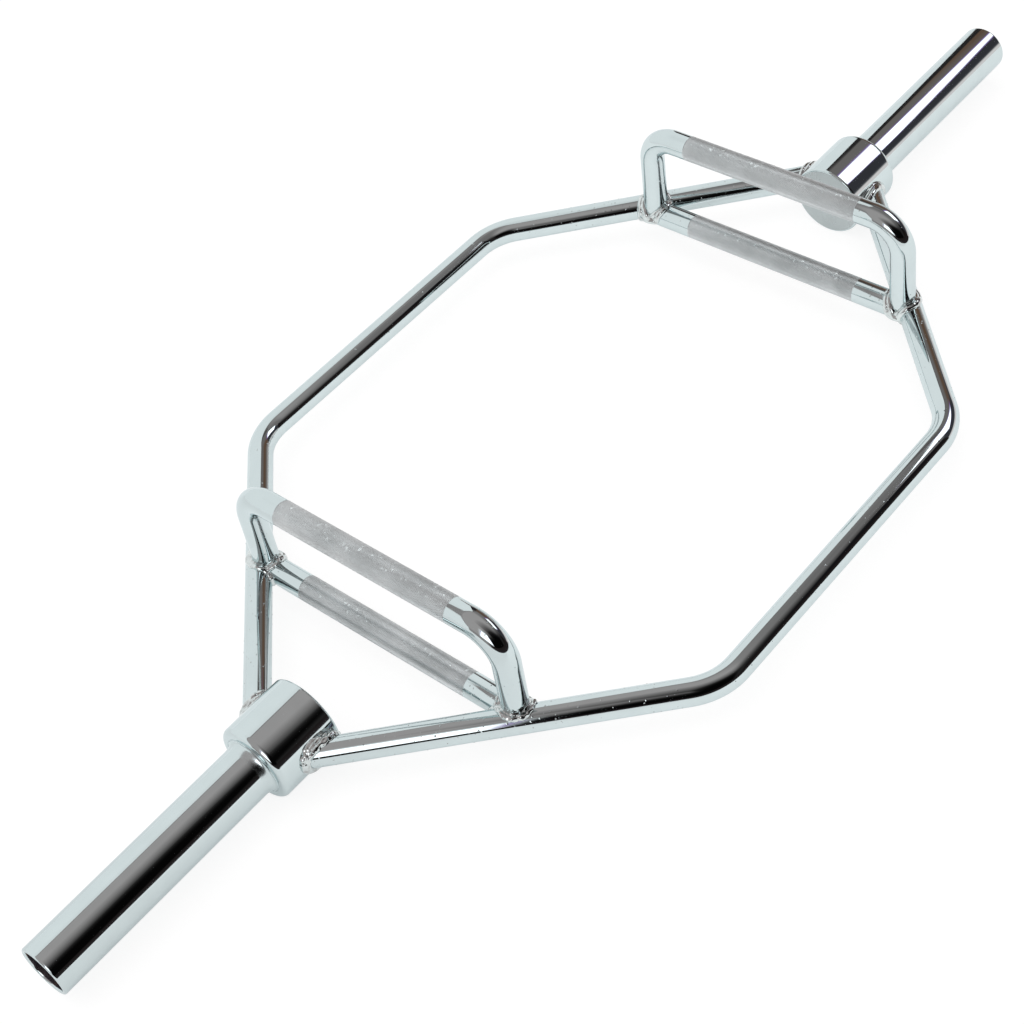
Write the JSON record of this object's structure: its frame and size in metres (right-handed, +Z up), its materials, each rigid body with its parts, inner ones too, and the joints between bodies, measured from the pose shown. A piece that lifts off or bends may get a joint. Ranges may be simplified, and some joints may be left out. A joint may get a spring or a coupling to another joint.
{
  "type": "hex trap bar",
  "caption": "Chrome-plated hexagonal trap bar: a welded frame of bent round bar to stand inside, with low and raised knurled handles and tubular end sleeves for weight plates.",
  "frame": {"origin": "middle of the bar in plan, at the level of the collars' undersides", "axes": "+X along the sleeves towards the right-hand sleeve, +Y towards the rear frame bar, +Z up through the raised handles"},
  "size_m": [1.39, 0.581, 0.1525],
  "materials": {
    "polished_chrome": "mirror polished",
    "knurled_chrome": "mirror polished, with a diamond knurled band at the grip",
    "plated_weld": "plated over the weld bead"
  },
  "bodies": {
    "root": {"front_frame_bar": "polished_chrome", "left_collar": "polished_chrome", "left_sleeve": "polished_chrome", "rear_frame_bar": "polished_chrome", "right_collar": "polished_chrome", "right_sleeve": "polished_chrome", "left_low_handle": "knurled_chrome", "left_raised_handle": "knurled_chrome", "right_low_handle": "knurled_chrome", "right_raised_handle": "knurled_chrome", "left_front_collar_weld": "plated_weld", "left_front_low_handle_weld": "plated_weld", "left_front_raised_handle_weld": "plated_weld", "left_rear_collar_weld": "plated_weld", "left_rear_low_handle_weld": "plated_weld", "left_rear_raised_handle_weld": "plated_weld", "left_sleeve_weld": "plated_weld", "right_front_collar_weld": "plated_weld", "right_front_low_handle_weld": "plated_weld", "right_front_raised_handle_weld": "plated_weld", "right_rear_collar_weld": "plated_weld", "right_rear_low_handle_weld": "plated_weld", "right_rear_raised_handle_weld": "plated_weld", "right_sleeve_weld": "plated_weld"}
  },
  "joints": []
}
